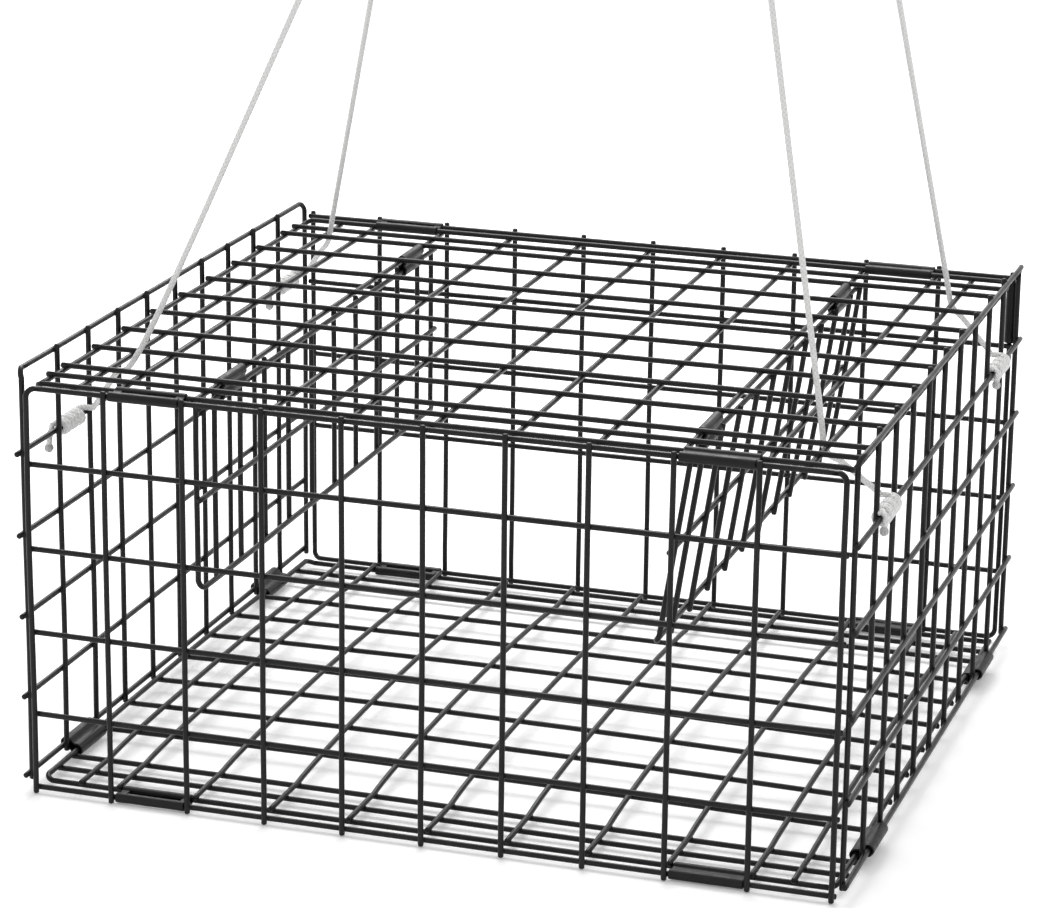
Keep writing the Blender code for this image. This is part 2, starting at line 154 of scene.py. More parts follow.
# Ends of wires and cords: a low dome, as a share of the radius, over a smaller ring part of the way out
DOME = 0.45
CORD_DOME = 0.1
DOME_RING = 0.72
DOME_RING_OUT = 0.7
CAP_MAP = ((0, 0), (0.1, 0), (0.05, 0.001))

# Clips: an eye's outer radius, half the web's height, and the sheet's thickness
HINGE_CLIP = (0.0037, 0.0016, 0.0013)
SIDE_CLIP = (0.0046, 0.0036, 0.0014)
GATE_CLIP = (0.0044, 0.003, 0.0018)
CLIP_CHAMFER = 0.0004
CLIP_SPACING = 0.004
CLIP_EYE_STEPS = 16
CLIP_WEB_STEPS = 12
CLIP_EDGE_ANGLE = 40
CLIP_STRAY_SCALE = 90
CLIP_STRAY = 0.00012
WINDOW_ENDS = 0.012
WINDOW_WIDTH = 0.0080
WINDOW_CUT = 0.02
SLEEVE_OUTER = 0.0044
SLEEVE_HOLE = 0.0026
SLEEVE_SIDES = 28

# Cords, with their ties, loose ends and knots
CORD = 0.0045
CORD_SIDES = 16
CORD_GAP = 0.0003
CORD_SPACING = CORD * 0.8
CURVE_STEPS = 40
NEARLY = 0.9999
BEND_EASE = 0.12
TIE_TURNS = 3
TIE_STEPS = 16
TIE_SIDES = 12
TIE_PITCH = 0.0125
TIE_SECOND = CORD * 1.05
TIE_ROW = 4
TIE_RADIUS = 0.00486274
TAIL_DROPS = {"left": 0.014, "right": 0.006}
TAIL_RUNS = (0.006, 0.011, 0.012)
TAIL_START = 0.002
TAIL_FRAY = (0.0034, 0.0038, 0.0036)
TAIL_FRAY_SIDES = 12
TAIL_FRAY_RINGS = 8
KNOT_POINTS = 48
KNOT_REACH = 0.00135
KNOT_MIDDLE = 0.008
KNOT_SWING = 0.0042
BEND_X = 0.27015
BEND_Z = 0.30851274

# Each cord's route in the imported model: its end above, the y of its bend and of its tie, and how far it bows
# inward above the bend
CORD_ROUTES = {
    "front_left": ((-0.1391, -0.1525, 0.5985), -0.2058, -0.1735, 0.0098),
    "back_left": ((-0.1993, 0.1525, 0.5449), 0.2345, 0.2700, 0.0),
    "front_right": ((0.2085, -0.1647, 0.6233), -0.2104, -0.1790, 0.0),
    "back_right": ((0.2298, 0.1464, 0.5740), 0.2135, 0.2160, 0.0),
}

# The seed of all strays, which Blender would otherwise draw from the clock, and differently in each run
STRAY_SEED = 1
noise.seed_set(STRAY_SEED)

# Colours, each a darker and a lighter one
COATING = ((0.004, 0.004, 0.0044), (0.013, 0.0133, 0.0137))
COATING_SCUFF = (0.035, 0.035, 0.036)
SHEET = ((0.003, 0.003, 0.0032), (0.010, 0.010, 0.0104))
# The cord's white: the lighter one on the strands, the darker one as painted shade in the braid's grooves
LINE_AND_GROOVE_SHADE = ((0.80, 0.80, 0.79), (0.95, 0.95, 0.94))
FLOOR = ((0.93, 0.93, 0.93), (0.95, 0.95, 0.95))

# The braid's strands round the line, and its turns in each metre
BRAID_AROUND = 4.0
BRAID_ALONG = 260.0

# Floor: its half width, how far it lies below the trap, and its glow where seen. Light: the sky's strength at
# the horizon and overhead, and the lamp's power, size, place and aim
FLOOR_REACH = 12
FLOOR_DROP = 0.0002
FLOOR_GLOW = 0.2
SKY_LOW = 0.45
SKY_HIGH = 0.9
LAMP_POWER = 75
LAMP_SIZE = 2.0
LAMP_PLACE = (-0.7, 1.7, 2.2)
LAMP_AIM = (0, 0, 0.15)


def make_camera():
    """The photograph's camera, from its place, its turns and its lens."""
    yaw, pitch, roll = CAMERA_YAW, CAMERA_PITCH, CAMERA_ROLL
    ahead = Vector((math.sin(yaw) * math.cos(pitch), math.cos(yaw) * math.cos(pitch), -math.sin(pitch)))
    level_right = Vector((math.cos(yaw), -math.sin(yaw), 0))
    level_up = level_right.cross(ahead)
    right = level_right * math.cos(roll) + level_up * math.sin(roll)
    up = level_up * math.cos(roll) - level_right * math.sin(roll)
    data = bpy.data.cameras.new("photo_camera")
    data.lens = CAMERA_LENS
    data.sensor_width = CAMERA_SENSOR
    data.clip_end = CAMERA_REACH
    camera = bpy.data.objects.new("photo_camera", data)
    bpy.context.collection.objects.link(camera)
    turn = Matrix((right, up, -ahead)).transposed().to_4x4()
    camera.matrix_world = Matrix.Translation(CAMERA_PLACE) @ turn
    bpy.context.scene.camera = camera
    bpy.context.scene.view_settings.view_transform = "Standard"


# Materials. A colour mix's sockets are named by number, because several share a name.
MIX_SHARE, MIX_FIRST, MIX_SECOND, MIX_RESULT = 0, 6, 7, 2
NOISE_ROUGHNESS = 0.55


def new_material(name):
    """A material with its nodes, and its shader."""
    material = bpy.data.materials.new(name)
    material.use_nodes = True
    tree = material.node_tree
    return material, tree, tree.nodes["Principled BSDF"]


def add_node(tree, kind, inputs=None, **settings):
    """A node with its settings, and its inputs set or linked."""
    node = tree.nodes.new(kind)
    for key, value in settings.items():
        setattr(node, key, value)
    for key, value in (inputs or {}).items():
        if isinstance(value, bpy.types.NodeSocket):
            tree.links.new(value, node.inputs[key])
        else:
            node.inputs[key].default_value = value
    return node


def speckle(tree, place, scale, detail):
    """A noise value from 0 to 1 at a place."""
    inputs = {"Vector": place, "Scale": scale, "Detail": detail, "Roughness": NOISE_ROUGHNESS}
    return add_node(tree, "ShaderNodeTexNoise", inputs).outputs["Fac"]


def ranged(tree, value, low_high, target):
    """A value carried from one range to another, and held inside it."""
    inputs = {"Value": value, "From Min": low_high[0], "From Max": low_high[1]}
    inputs.update({"To Min": target[0], "To Max": target[1]})
    return add_node(tree, "ShaderNodeMapRange", inputs).outputs["Result"]


def worked(tree, operation, first, second=0.0):
    """What the named operation makes of one value or two."""
    return add_node(tree, "ShaderNodeMath", {0: first, 1: second}, operation=operation).outputs[0]


def mixed(tree, share, first, second):
    """Two colours mixed by a share."""
    ends = [end if isinstance(end, bpy.types.NodeSocket) else (*end, 1) for end in (first, second)]
    inputs = {MIX_SHARE: share, MIX_FIRST: ends[0], MIX_SECOND: ends[1]}
    return add_node(tree, "ShaderNodeMix", inputs, data_type="RGBA").outputs[MIX_RESULT]


def bumped(tree, height, distance, strength, normal=None):
    """A normal from a height."""
    inputs = {"Height": height, "Distance": distance, "Strength": strength}
    if normal is not None:
        inputs["Normal"] = normal
    return add_node(tree, "ShaderNodeBump", inputs).outputs["Normal"]


def black_coating():
    """Black vinyl on wire: slightly lumpy, dusty in places, scuffed a little."""
    material, tree, shader = new_material("black_wire_coating")
    place = add_node(tree, "ShaderNodeTexCoord").outputs["Object"]
    dust = ranged(tree, speckle(tree, place, scale=38, detail=5), (0.42, 0.72), (0, 1))
    scuff = ranged(tree, speckle(tree, place, scale=420, detail=2), (0.66, 0.74), (0, 0.5))
    colour = mixed(tree, scuff, mixed(tree, dust, *COATING), COATING_SCUFF)
    tree.links.new(colour, shader.inputs["Base Color"])
    tree.links.new(ranged(tree, dust, (0, 1), (0.3, 0.46)), shader.inputs["Roughness"])
    shader.inputs["Specular IOR Level"].default_value = 0.25
    lumps = bumped(tree, speckle(tree, place, scale=160, detail=2), distance=0.0004, strength=0.6)
    grain = speckle(tree, place, scale=1500, detail=2)
    normal = bumped(tree, grain, distance=0.00006, strength=0.5, normal=lumps)
    tree.links.new(normal, shader.inputs["Normal"])
    return material


def black_sheet():
    """The clips' black plastic sheet: matt and finely grained."""
    material, tree, shader = new_material("black_clip_sheet")
    place = add_node(tree, "ShaderNodeTexCoord").outputs["Object"]
    cloud = ranged(tree, speckle(tree, place, scale=90, detail=4), (0.35, 0.7), (0, 1))
    tree.links.new(mixed(tree, cloud, *SHEET), shader.inputs["Base Color"])
    tree.links.new(ranged(tree, cloud, (0, 1), (0.34, 0.55)), shader.inputs["Roughness"])
    shader.inputs["Specular IOR Level"].default_value = 0.24
    grain = speckle(tree, place, scale=700, detail=3)
    tree.links.new(bumped(tree, grain, distance=0.0002, strength=0.5), shader.inputs["Normal"])
    return material


def braided_line():
    """White braided line: two sets of crossing strands, from the tube's own map, with painted shade darkening
    the grooves between them.
    """
    material, tree, shader = new_material("white_braided_line")
    place = add_node(tree, "ShaderNodeTexCoord")
    split = add_node(tree, "ShaderNodeSeparateXYZ", {"Vector": place.outputs["UV"]})
    around = worked(tree, "MULTIPLY", split.outputs["X"], BRAID_AROUND)
    along = worked(tree, "MULTIPLY", split.outputs["Y"], BRAID_ALONG)
    waves = []
    for kind in ("ADD", "SUBTRACT"):
        turn = worked(tree, kind, around, along)
        waves.append(worked(tree, "SINE", worked(tree, "MULTIPLY", turn, math.tau)))
    height = ranged(tree, worked(tree, "MAXIMUM", *waves), (-1, 1), (0, 1))
    # Painted shade: the colour darkens where the braid's height is low, in the grooves between strands
    tree.links.new(mixed(tree, height, *LINE_AND_GROOVE_SHADE), shader.inputs["Base Color"])
    shader.inputs["Roughness"].default_value = 0.75
    grain = speckle(tree, place.outputs["Object"], scale=2600, detail=2)
    fuzz = bumped(tree, grain, distance=0.0001, strength=0.4)
    normal = bumped(tree, height, distance=0.0005, strength=0.8, normal=fuzz)
    tree.links.new(normal, shader.inputs["Normal"])
    return material


# Meshes

class Builder:
    """Gathers tubes and lumps into one mesh, with a map round and along each tube."""

    def __init__(self):
        self.verts = []
        self.faces = []
        self.uvs = []

    def rings(self, rings, closed_run=False, lengths=None):
        """Joins rings of points with quads, and says where the first ring starts."""
        lengths = lengths or range(len(rings) + 1)
        start, count = len(self.verts), len(rings[0])
        for ring in rings:
            self.verts.extend(ring)
        for i in range(len(rings) if closed_run else len(rings) - 1):
            a, b = start + i * count, start + (i + 1) % len(rings) * count
            low, high = lengths[i], lengths[i + 1]
            for k in range(count):
                j = (k + 1) % count
                self.faces.append((a + k, a + j, b + j, b + k))
                u0, u1 = k / count, (k + 1) / count
                self.uvs.extend(((u0, low), (u1, low), (u1, high), (u0, high)))
        return start

    def capped_rings(self, rings, tips, lengths=None):
        """Joins rings of points with quads, and closes both ends."""
        start, count = self.rings(rings, lengths=lengths), len(rings[0])
        self.cap(start, count, tips[0], False)
        self.cap(start + (len(rings) - 1) * count, count, tips[1], True)

    def cap(self, ring_start, count, tip, outward):
        """Closes a ring with a fan to its tip."""
        centre = len(self.verts)
        self.verts.append(tip)
        for k in range(count):
            j = (k + 1) % count
            pair = (ring_start + k, ring_start + j) if outward else (ring_start + j, ring_start + k)
            self.faces.append((*pair, centre))
            self.uvs.extend(CAP_MAP)

    def tube(self, points, radius, sides, closed=False, dome=DOME):
        """A round tube along points, its ends slightly domed."""
        count = len(points)
        tangents = []
        for i in range(count):
            before = points[i - 1] if closed or i > 0 else points[i]
            after = points[(i + 1) % count] if closed or i < count - 1 else points[i]
            tangents.append((after - before).normalized())
        side = tangents[0].orthogonal().normalized()
        sides_at = []
        for tangent in tangents:
            side = (side - tangent * side.dot(tangent)).normalized()
            sides_at.append((side.copy(), tangent.cross(side)))
        if closed:
            twist_fix(tangents, sides_at)

        def ring(i, size, ahead=0.0):
            across, over = sides_at[i]
            centre = points[i] + tangents[i] * ahead
            angles = [math.tau * k / sides for k in range(sides)]
            return [centre + across * (size * math.cos(a)) + over * (size * math.sin(a)) for a in angles]

        lengths = [0.0]
        for p, q in zip(points, points[1:]):
            lengths.append(lengths[-1] + (q - p).length)
        body = [ring(i, radius) for i in range(count)]
        if closed:
            lengths.append(lengths[-1] + (points[0] - points[-1]).length)
            self.rings(body, closed_run=True, lengths=lengths)
            return
        bulge = radius * dome
        body.insert(0, ring(0, radius * DOME_RING, -bulge * DOME_RING_OUT))
        body.append(ring(-1, radius * DOME_RING, bulge * DOME_RING_OUT))
        lengths = [lengths[0] - bulge, *lengths, lengths[-1] + bulge]
        tips = points[0] - tangents[0] * bulge, points[-1] + tangents[-1] * bulge
        self.capped_rings(body, tips, lengths)

    def lump(self, centre, axes, sizes, around=8, up=5):
        """A small ellipsoid."""
        rings = []
        for i in range(1, up):
            tilt = math.pi * i / up
            ring = []
            for k in range(around):
                turn = math.tau * k / around
                flat = axes[0] * (sizes[0] * math.cos(turn)) + axes[1] * (sizes[1] * math.sin(turn))
                ring.append(centre + flat * math.sin(tilt) - axes[2] * (sizes[2] * math.cos(tilt)))
            rings.append(ring)
        self.capped_rings(rings, (centre - axes[2] * sizes[2], centre + axes[2] * sizes[2]))

    def finish(self, name, material):
        """The mesh as a smooth shaded object."""
        mesh = bpy.data.meshes.new(name)
        mesh.from_pydata(self.verts, [], self.faces)
        flat = [value for pair in self.uvs for value in pair]
        mesh.uv_layers.new(name="map").data.foreach_set("uv", flat)
        mesh.materials.append(material)
        mesh.shade_smooth()
        mesh.update()
        thing = bpy.data.objects.new(name, mesh)
        bpy.context.collection.objects.link(thing)
        return thing


def twist_fix(tangents, sides_at):
    """Spreads the twist that a closed tube gathers over its whole run."""
    first_across, first_over = sides_at[0]
    last = sides_at[-1][0]
    last = (last - tangents[0] * last.dot(tangents[0])).normalized()
    angle = math.atan2(last.dot(first_over), last.dot(first_across))
    count = len(sides_at)
    for i, (across, over) in enumerate(sides_at):
        turn = -angle * i / (count - 1)
        cos, sin = math.cos(turn), math.sin(turn)
        sides_at[i] = (across * cos + over * sin, over * cos - across * sin)


def resampled(path, spacing, closed=False):
    """Points along a path at most a spacing apart, its own points kept."""
    pairs = list(zip(path, path[1:] + path[:1])) if closed else list(zip(path, path[1:]))
    points = []
    for p, q in pairs:
        steps = max(1, math.ceil((q - p).length / spacing))
        points += [p.lerp(q, k / steps) for k in range(steps)]
    if not closed:
        points.append(path[-1])
    return points


def freedom(v, held):
    """How freely a wire strays at v, from none on a held line to full a little way off."""
    return min([abs(v - line) / HELD_REACH for line in held] + [1.0])


class Panel:
    """A welded panel: its place, its own directions and the wires in it.

    A place in it is u along its rows, v along its bars, and a level: 0 for the rows, 1 for the bars.
    """

    def __init__(self, node, body, origin, along, away, bars, seed, bow=0.0):
        self.node = node
        self.body = body
        self.origin = Vector(origin)
        self.along = Vector(along)
        self.away = Vector(away)
        self.bars = Vector(bars)
        self.seed = seed
        self.bow = bow
        self.builder = Builder()

    def point(self, u, v, level):
        """The place in the model of a place in the panel."""
        return self.origin + self.along * u + self.away * v + self.bars * (level * LEVEL)

    def sway(self, u, v):
        """How far the panel's wires stray from true, at a place in the panel."""
        stray = noise.noise_vector(Vector((u * SWAY_SCALE, v * SWAY_SCALE, self.seed * SWAY_STEP)))
        arch = max(0.0, 1 - (v / FIRST_FULL_Y) ** 2) ** BOW_POWER
        arch *= 1 - BOW_EDGE_LOSS * (u / (WIDTH / 2)) ** 2
        within = self.along * (stray.x * SWAY_WITHIN) + self.away * (stray.y * SWAY_WITHIN)
        return within + self.bars * (stray.z * SWAY_ACROSS + self.bow * arch)

    def wire(self, path, held, closed=False):
        """One wire along (u, v, level) points."""
        path = resampled([Vector(p) for p in path], WIRE_SPACING, closed)
        points = [self.point(*p) + self.sway(p.x, p.y) * freedom(p.y, held) for p in path]
        self.builder.tube(points, WIRE / 2, WIRE_SIDES, closed)

    def weld(self, u, v, held):
        """The coating gathered where a row and a bar cross."""
        centre = self.point(u, v, 0.5) + self.sway(u, v) * freedom(v, held)
        self.builder.lump(centre, (self.along, self.away, self.bars), (WELD_WIDE, WELD_WIDE, WELD_DEEP))


def rounded_corner(u, v, first_angle, first_level):
    """Points round a corner with its centre at u, v, passing from one level to the other."""
    points = []
    for i in range(CORNER_STEPS + 1):
        share = i / CORNER_STEPS
        angle = math.radians(first_angle + 90 * share)
        level = first_level + (1 - 2 * first_level) * share
        points.append((u + CORNER_RADIUS * math.cos(angle), v + CORNER_RADIUS * math.sin(angle), level))
    return points


def edge_path(u0, u1, v0, v1, ends):
    """The bent wire at a panel's edge, closed low, high or both."""
    a, b = u0 + CORNER_RADIUS, u1 - CORNER_RADIUS
    c, d = v0 + CORNER_RADIUS, v1 - CORNER_RADIUS
    low_right = rounded_corner(b, c, -90, 0)
    high_right = rounded_corner(b, d, 0, 1)
    high_left = rounded_corner(a, d, 90, 0)
    low_left = rounded_corner(a, c, 180, 1)
    if ends == "both":
        return low_right + high_right + high_left + low_left
    if ends == "high":
        return [(u1, v0 - WIRE_STUB, 1)] + high_right + high_left + [(u0, v0 - WIRE_STUB, 1)]
    return [(u0, v1 + WIRE_STUB, 1)] + low_left + low_right + [(u1, v1 + WIRE_STUB, 1)]


def weld_panel(panel, rows, bars, box, ends, held, row_stub=ROW_STUB):
    """Straight rows and bars inside a bent edge wire."""
    u0, u1, v0, v1 = box
    for v in rows:
        panel.wire([(u0 - row_stub, v, 0), (u1 + row_stub, v, 0)], held)
    for u in bars:
        panel.wire([(u, v0 - WIRE_STUB, 1), (u, v1 + WIRE_STUB, 1)], held)
    panel.wire(edge_path(u0, u1, v0, v1, ends), held, closed=ends == "both")
    edge_rows = {"both": [v0, v1], "high": [v1], "low": [v0]}[ends]
    for v in rows + edge_rows:
        for u in bars + ([u0, u1] if v in rows else []):
            panel.weld(u, v, held)
    return panel


def depth_stations():
    """The floor's and the top's wires from front to back, edges left out."""
    half = FIRST_FULL_Y
    stations = [-half - EDGE_PITCH * k for k in range(EDGE_CELLS - 1, 0, -1)]
    stations += [-half + DEPTH_PITCH * k for k in range(DEPTH_CELLS + 1)]
    return stations + [half + EDGE_PITCH * k for k in range(1, EDGE_CELLS)]


def width_stations():
    """The floor's and the top's wires from left to right, edges left out."""
    inner = [MESH_PITCH * k - WIDTH / 2 for k in range(1, MESH_CELLS)]
    return [END_CELL - WIDTH / 2] + inner + [WIDTH / 2 - END_CELL]


def level_panel(node, body, height, bars_up, seed):
    """The floor, with its bars above its rows, or the top, with its bars below."""
    half = FIRST_FULL_Y + EDGE_PITCH * EDGE_CELLS
    bars = (0, 0, 1 if bars_up else -1)
    bow = FLOOR_BOW if bars_up else 0.0
    panel = Panel(node, body, (0, 0, height), (1, 0, 0), (0, 1, 0), bars, seed, bow)
    box = (-WIDTH / 2, WIDTH / 2, -half, half)
    return weld_panel(panel, depth_stations(), width_stations(), box, "both", held=(-half, half))


def end_wall(node, body, front, seed):
    """The front wall, with its bent wire above, or the back wall, with its bent wire below."""
    outward = -1 if front else 1
    origin = (0, outward * HALF_DEPTH, RIDE)
    panel = Panel(node, body, origin, (1, 0, 0), (0, 0, 1), (0, outward, 0), seed)
    bars = [MESH_PITCH * k - WIDTH / 2 for k in range(1, MESH_CELLS)]
    middle = [END_ROW + ROW_PITCH * k for k in range(ROW_CELLS + 1)]
    rows = [0.0] + middle if front else middle + [WALL_HEIGHT]
    box = (-WIDTH / 2, WIDTH / 2, 0.0, WALL_HEIGHT)
    return weld_panel(panel, rows, bars, box, "high" if front else "low", held=(0.0, WALL_HEIGHT))


def drop_wall(node, body, side, seed):
    """A drop wall, on its bottom wire."""
    origin = (side * SIDE_HINGE_X, 0, SIDE_HINGE_Z)
    panel = Panel(node, body, origin, (0, 1, 0), (0, 0, 1), (-side, 0, 0), seed)
    bars = [DEPTH_PITCH * k - FIRST_FULL_Y for k in range(DEPTH_CELLS + 1)]
    rows = [SIDE_ROW_PITCH * k for k in range(SIDE_ROWS)]
    box = (SIDE_FRONT_GAP - HALF_DEPTH, HALF_DEPTH - SIDE_BACK_GAP, 0.0, SIDE_HEIGHT)
    return weld_panel(panel, rows, bars, box, "high", held=(0.0,), row_stub=SIDE_WIRE_STUB)


def gate(node, body, side, seed):
    """A gate, hanging from its top wire."""
    origin = (side * GATE_X, 0, GATE_Z)
    lean = math.radians(RIGHT_GATE_LEAN) if side > 0 else 0.0
    away = (-side * math.sin(lean), 0, -math.cos(lean))
    panel = Panel(node, body, origin, (0, 1, 0), away, (side * math.cos(lean), 0, -math.sin(lean)), seed)
    bars = [GATE_PITCH * k - FIRST_FULL_Y for k in range(GATE_GAPS + 1)]
    rows = [GATE_ROW_PITCH * k for k in range(GATE_ROWS)]
    box = (-GATE_HALF, GATE_HALF, 0.0, GATE_HEIGHT)
    return weld_panel(panel, rows, bars, box, "high", held=(0.0,))


def make_panels(coating):
    """The eight welded panels."""
    panels = [
        level_panel("floor_panel", "floor", RIDE, True, 1),
        level_panel("top_panel", "top", TOP, False, 2),
        end_wall("front_wall", "front_wall", True, 3),
        end_wall("back_wall", "back_wall", False, 4),
        drop_wall("drop_wall_left", "drop_left", -1, 5),
        drop_wall("drop_wall_right", "drop_right", 1, 6),
        gate("gate_left", "gate_left", -1, 7),
        gate("gate_right", "gate_right", 1, 8),
    ]
    for panel in panels:
        thing = panel.builder.finish(panel.node + "_wires", coating)
        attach(thing, panel.body)
        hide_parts(panel.node)


# Cords

def smooth_points(route, spacing):
    """Evenly spaced points on a smooth curve through the route's points."""
    ends = [route[0] * 2 - route[1], *route, route[-1] * 2 - route[-2]]
    fine = []
    for a, b, c, d in zip(ends, ends[1:], ends[2:], ends[3:]):
        for k in range(CURVE_STEPS):
            t = k / CURVE_STEPS
            curve = 2 * b + (c - a) * t + (2 * a - 5 * b + 4 * c - d) * t**2
            fine.append((curve + (3 * b - a - 3 * c + d) * t**3) / 2)
    fine.append(route[-1])
    length = sum((q - p).length for p, q in zip(fine, fine[1:]))
    step = length / max(round(length / spacing), 1)
    points, since = [fine[0]], 0.0
    for p, q in zip(fine, fine[1:]):
        since += (q - p).length
        if since >= step * NEARLY:
            points.append(q)
            since -= step
    points[-1] = route[-1]
    return points


def wound_points(side, start_y, row_x, row_z):
    """Turns of cord round a drop wall's row wire."""
    points = []
    steps = TIE_TURNS * TIE_STEPS
    for i in range(steps + 1):
        turn = TIE_TURNS * i / steps
        angle = math.tau * turn
        x = row_x + side * TIE_RADIUS * math.sin(angle)
        z = row_z + TIE_RADIUS * math.cos(angle)
        points.append(Vector((x, start_y - TIE_PITCH * turn, z)))
    return points


def make_tie(corner, side, first, row_x, row_z, line):
    """A tie from its first point: two strands wound together, and the loose end with its fray."""
    winding = wound_points(side, first.y, row_x, row_z)
    tail_x = row_x + side * TIE_RADIUS
    drop = TAIL_DROPS["left" if side < 0 else "right"]
    heights = (row_z + TAIL_START, row_z - drop / 2, row_z - drop)
    tail = [Vector((tail_x, winding[-1].y - run, height)) for run, height in zip(TAIL_RUNS, heights)]
    builder = Builder()
    builder.tube([first] + winding + tail, CORD / 2, TIE_SIDES)
    builder.lump(tail[-1], Matrix.Identity(3), TAIL_FRAY, TAIL_FRAY_SIDES, TAIL_FRAY_RINGS)
    builder.tube(wound_points(side, first.y - TIE_SECOND, row_x, row_z), CORD / 2, TIE_SIDES)
    return builder.finish(f"tie_{corner}_winding", line)


def make_cords(line):
    """The four taut cords with their ties and end knots."""
    for corner, (top_end, bend_y, tie_y, bow) in CORD_ROUTES.items():
        side = -1 if corner.endswith("left") else 1
        hand = "left" if side < 0 else "right"
        row_x = side * SIDE_HINGE_X
        row_z = SIDE_HINGE_Z + SIDE_ROW_PITCH * TIE_ROW
        first = Vector((row_x - side * CORD, tie_y, row_z + TIE_RADIUS))
        start = first + Vector((-side, 0, 0)) * CORD_GAP
        bend = Vector((side * BEND_X, bend_y, BEND_Z))
        end = Vector(top_end)
        lead = start + Vector((-side * CORD, 0, 0))
        above = bend.lerp(end, BEND_EASE) - Vector((side * bow, 0, 0))
        route = [lead, lead.lerp(bend, 1 - BEND_EASE * 3), bend, above, end]
        points = [start] + smooth_points(route, CORD_SPACING)
        builder = Builder()
        builder.tube(points, CORD / 2, CORD_SIDES, dome=CORD_DOME)
        cord = builder.finish(f"cord_{corner}_line", line)

        tie = make_tie(corner, side, first, row_x, row_z, line)
        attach(tie, f"drop_{hand}")
        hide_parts(f"tie_{corner}")

        ahead = (points[-1] - points[-2]).normalized()
        knot = make_end_knot(corner, end + ahead * CORD_GAP, ahead, line)
        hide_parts(f"end_knot_{corner}")
        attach(knot, frame["nodes"][f"end_knot_{corner}"]["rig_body"])

        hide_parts(f"cord_{corner}")
        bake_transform(cord)


def make_end_knot(corner, place, ahead, line):
    """An overhand knot that ends a cord."""
    across = ahead.orthogonal().normalized()
    over = ahead.cross(across)
    points = []
    for i in range(KNOT_POINTS):
        t = math.tau * i / KNOT_POINTS
        x = (math.sin(t) + 2 * math.sin(2 * t)) * KNOT_REACH
        y = (math.cos(t) - 2 * math.cos(2 * t)) * KNOT_REACH
        z = KNOT_MIDDLE - math.sin(3 * t) * KNOT_SWING
        points.append(place + across * x + over * y + ahead * z)
    builder = Builder()
    builder.tube(points, CORD / 2, TIE_SIDES, closed=True)
    return builder.finish(f"end_knot_{corner}_line", line)


# Clips

def band_outline(gap, outer, web):
    """A clip's outside: two round eyes with a pinched web between them."""
    top = []
    for i in range(CLIP_EYE_STEPS + 1):
        angle = math.pi / 2 * i / CLIP_EYE_STEPS
        top.append((gap / 2 + outer * math.cos(angle), outer * math.sin(angle)))
    for i in range(1, CLIP_WEB_STEPS * 2):
        x = gap / 2 * (1 - i / CLIP_WEB_STEPS)
        off = gap / 2 - abs(x)
        eye = math.sqrt(max(outer * outer - off * off, 0.0))
        top.append((x, (eye**4 + web**4) ** 0.25))
    for i in range(CLIP_EYE_STEPS + 1):
        angle = math.pi / 2 * (1 + i / CLIP_EYE_STEPS)
        top.append((-gap / 2 + outer * math.cos(angle), outer * math.sin(angle)))
    bottom = [(-x, -z) for x, z in top[1:-1]]
    return top + bottom


def inset(outline, skin):
    """The outline moved inward by the sheet's thickness."""
    count = len(outline)
    moved = []
    for i, (x, z) in enumerate(outline):
        ax, az = outline[i - 1]
        bx, bz = outline[(i + 1) % count]
        dx, dz = bx - ax, bz - az
        size = math.hypot(dx, dz)
        moved.append((x - dz / size * skin, z + dx / size * skin))
    return moved


def band(name, outline, hole, place, axes, length, material):
    """A sheet bent to an outline and open along its hole, its end edges eased."""
    axis, wide, tall = axes
    half = length / 2
    inside = half - CLIP_CHAMFER
    count = max(4, round(length / CLIP_SPACING))
    stations = [-half + CLIP_CHAMFER + inside * 2 * k / count for k in range(count + 1)]
    shrunk, grown = inset(outline, CLIP_CHAMFER), inset(hole, -CLIP_CHAMFER)
    outside = [(shrunk, -half)] + [(outline, s) for s in stations] + [(shrunk, half)]
    within = [(grown, half)] + [(hole, s) for s in reversed(stations)] + [(grown, -half)]
    rings = []
    for loop, s in outside + within:
        ring = [place + axis * s + wide * x + tall * z for x, z in loop]
        rings.append([p + noise.noise_vector(p * CLIP_STRAY_SCALE) * CLIP_STRAY for p in ring])
    builder = Builder()
    builder.rings(rings, closed_run=True)
    thing = builder.finish(name, material)
    thing.data.set_sharp_from_angle(angle=math.radians(CLIP_EDGE_ANGLE))
    return thing


def cut_window(thing, place, sizes, axes):
    """Cuts a window right through a clip's web."""
    bpy.ops.mesh.primitive_cube_add(size=1)
    cutter = bpy.context.active_object
    turn = Matrix(axes).transposed().to_4x4()
    cutter.matrix_world = Matrix.Translation(place) @ turn @ Matrix.Diagonal((*sizes, 1))
    bpy.context.view_layer.update()
    modifier = thing.modifiers.new("window", "BOOLEAN")
    modifier.operation = "DIFFERENCE"
    modifier.solver = "EXACT"
    modifier.object = cutter
    graph = bpy.context.evaluated_depsgraph_get()
    mesh = bpy.data.meshes.new_from_object(thing.evaluated_get(graph))
    thing.modifiers.clear()
    thing.data = mesh
    thing.data.set_sharp_from_angle(angle=math.radians(CLIP_EDGE_ANGLE))
    bpy.data.objects.remove(cutter, do_unlink=True)


def clip_layout(node):
    """A clip's axes (along its wires, from wire to wire, and up from its web), its wires' gap and its shape."""
    along_x, along_y, up = Vector((1, 0, 0)), Vector((0, 1, 0)), Vector((0, 0, 1))
    if "_side_" in node:
        side = -1 if node.endswith("left") else 1
        spread = Vector((side * SIDE_OUT, 0, SIDE_UP))
        wide = spread.normalized()
        return (along_y, wide, along_y.cross(wide)), spread.length, SIDE_CLIP
    if "_gate_" in node:
        return (along_y, up, along_x), GATE_DROP, GATE_CLIP
    return (along_x, along_y, up), HINGE_GAP, HINGE_CLIP


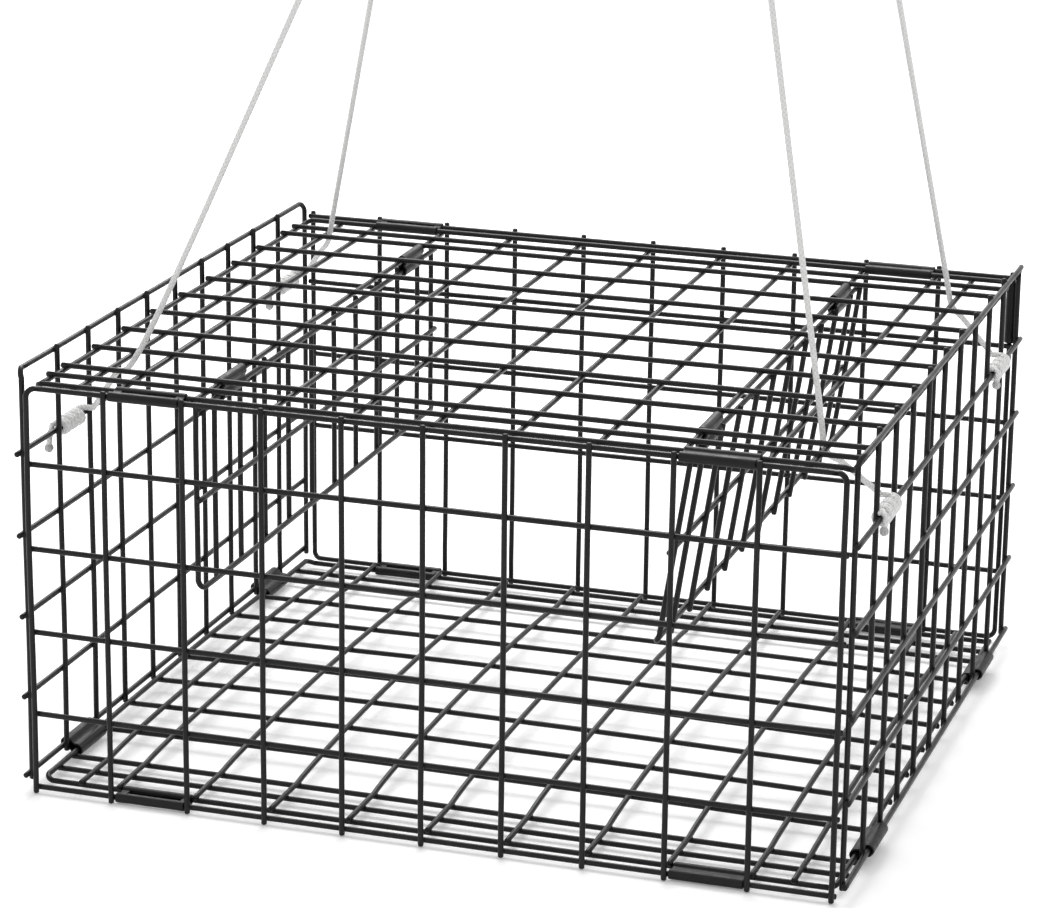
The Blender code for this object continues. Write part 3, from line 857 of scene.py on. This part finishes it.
def make_clips(sheet):
    """Every clip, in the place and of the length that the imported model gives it."""
    for node, thing in frame["nodes"].items():
        if not node.startswith("clip_"):
            continue
        low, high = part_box(node)
        middle, size = (low + high) / 2, high - low
        axes, gap, (outer, web, skin) = clip_layout(node)
        length = size.x if axes[0].x else size.y
        outline = band_outline(gap, outer, web)
        clip = band(node + "_sheet", outline, inset(outline, skin), middle, axes, length, sheet)
        if gap == HINGE_GAP and node.endswith("left"):
            cut_window(clip, middle, (length - WINDOW_ENDS, WINDOW_WIDTH, WINDOW_CUT), axes)
        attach(clip, thing["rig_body"])
        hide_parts(node)


def make_sleeve(sheet):
    """The tube on the back wall's edge wire."""
    low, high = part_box("sleeve_back_wall")
    middle, size = (low + high) / 2, high - low
    angles = [math.tau * k / SLEEVE_SIDES for k in range(SLEEVE_SIDES)]
    outline = [(math.cos(a) * SLEEVE_OUTER, math.sin(a) * SLEEVE_OUTER) for a in angles]
    hole = [(math.cos(a) * SLEEVE_HOLE, math.sin(a) * SLEEVE_HOLE) for a in angles]
    axes = Vector((0, 0, 1)), Vector((1, 0, 0)), Vector((0, 1, 0))
    sleeve = band("sleeve_back_wall_tube", outline, hole, middle, axes, size.z, sheet)
    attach(sleeve, "back_wall")
    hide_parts("sleeve_back_wall")


# Floor and light

def seen_share(tree, unseen, seen):
    """A number for what the camera sees, straight or by a reflection, and another for the rest."""
    path = add_node(tree, "ShaderNodeLightPath")
    share = path.outputs["Is Camera Ray"]
    for kind in ("Is Glossy Ray", "Is Transmission Ray"):
        share = worked(tree, "MAXIMUM", share, path.outputs[kind])
    return ranged(tree, share, (0, 1), (unseen, seen))


def make_floor():
    """A plain pale floor, which keeps the trap's shadow."""
    material, tree, shader = new_material("pale_floor")
    place = add_node(tree, "ShaderNodeTexCoord").outputs["Object"]
    tone = ranged(tree, speckle(tree, place, scale=3, detail=2), (0.3, 0.7), (0, 1))
    tree.links.new(mixed(tree, tone, *FLOOR), shader.inputs["Base Color"])
    shader.inputs["Roughness"].default_value = 0.9
    shader.inputs["Emission Color"].default_value = (1, 1, 1, 1)
    tree.links.new(seen_share(tree, 0.0, FLOOR_GLOW), shader.inputs["Emission Strength"])
    mesh = bpy.data.meshes.new("floor")
    corners = [(x * FLOOR_REACH, y * FLOOR_REACH, 0) for x, y in ((-1, -1), (1, -1), (1, 1), (-1, 1))]
    mesh.from_pydata(corners, [], [(0, 1, 2, 3)])
    mesh.materials.append(material)
    plane = bpy.data.objects.new("floor", mesh)
    plane.location.z = -FLOOR_DROP
    bpy.context.collection.objects.link(plane)


def make_light():
    """Soft light from all round, with one broad lamp above."""
    world = bpy.data.worlds.new("studio")
    bpy.context.scene.world = world
    world.use_nodes = True
    tree = world.node_tree
    background = tree.nodes["Background"]
    background.inputs["Color"].default_value = (1, 1, 1, 1)
    place = add_node(tree, "ShaderNodeTexCoord").outputs["Generated"]
    height = add_node(tree, "ShaderNodeSeparateXYZ", {"Vector": place}).outputs["Z"]
    sky = ranged(tree, height, (0, 1), (SKY_LOW, SKY_HIGH))
    inputs = {"Factor": seen_share(tree, 0.0, 1.0), "A": sky, "B": 1.0}
    level = add_node(tree, "ShaderNodeMix", inputs, data_type="FLOAT").outputs["Result"]
    tree.links.new(level, background.inputs["Strength"])
    data = bpy.data.lights.new("broad_lamp", "AREA")
    data.shape = "SQUARE"
    data.size = LAMP_SIZE
    data.energy = LAMP_POWER
    lamp = bpy.data.objects.new("broad_lamp", data)
    bpy.context.collection.objects.link(lamp)
    lamp.location = LAMP_PLACE
    aim = Vector(LAMP_AIM) - lamp.location
    lamp.rotation_euler = aim.to_track_quat("-Z", "Y").to_euler()


make_camera()
coating = black_coating()
make_cords(braided_line())
make_panels(coating)
sheet = black_sheet()
make_clips(sheet)
make_sleeve(sheet)
make_floor()
make_light()
